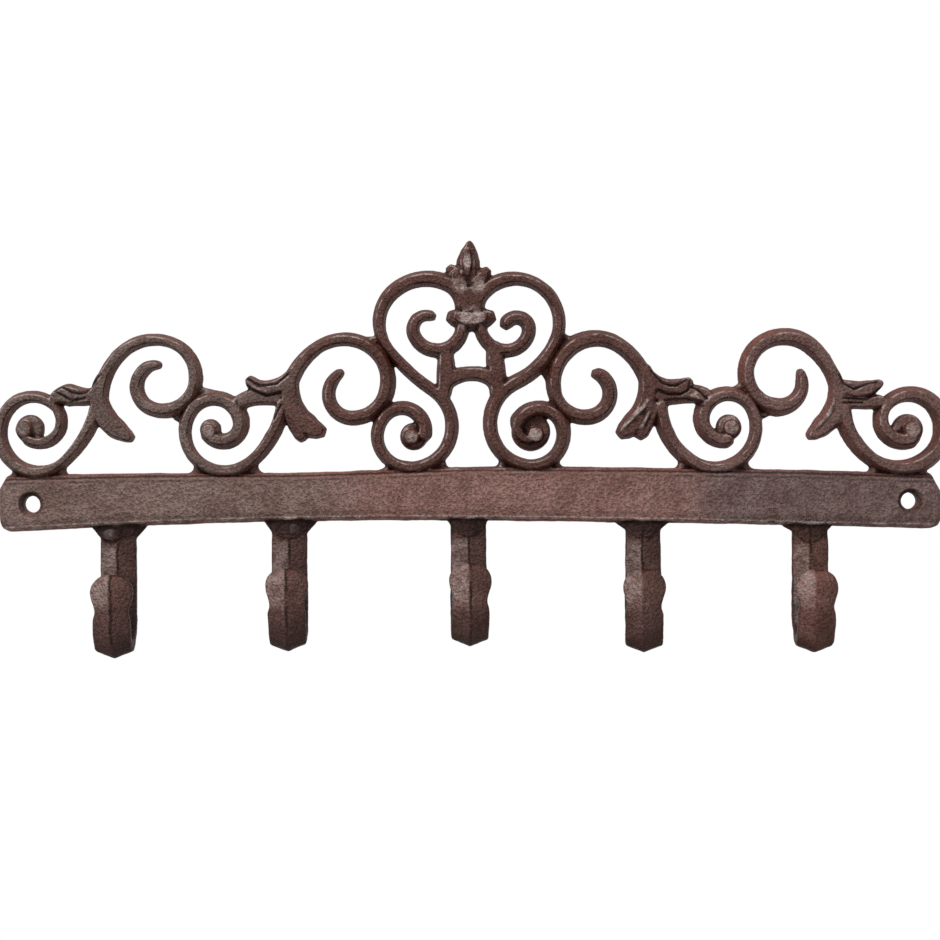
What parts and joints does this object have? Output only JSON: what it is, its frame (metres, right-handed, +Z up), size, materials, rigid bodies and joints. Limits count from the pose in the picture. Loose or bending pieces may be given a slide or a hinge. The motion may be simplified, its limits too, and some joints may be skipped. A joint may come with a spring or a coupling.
{
  "type": "coat rack",
  "caption": "Wall-mounted cast iron rail with plain J hooks ending in round knobs below, and an open scrollwork crest with a pointed finial above.",
  "frame": {"origin": "midway between the two screw holes, on the wall plane at the rack's back", "axes": "+X runs along the rail to the right as seen from the front, +Z is up, +Y points into the wall, so the hooks reach to -Y"},
  "size_m": [0.3326, 0.0289, 0.1427],
  "materials": {
    "iron": "rust-brown sand-cast surface, bare metal rubbed greyer on the high edges"
  },
  "bodies": {
    "root": {"coat_rack": "iron"}
  },
  "joints": []
}
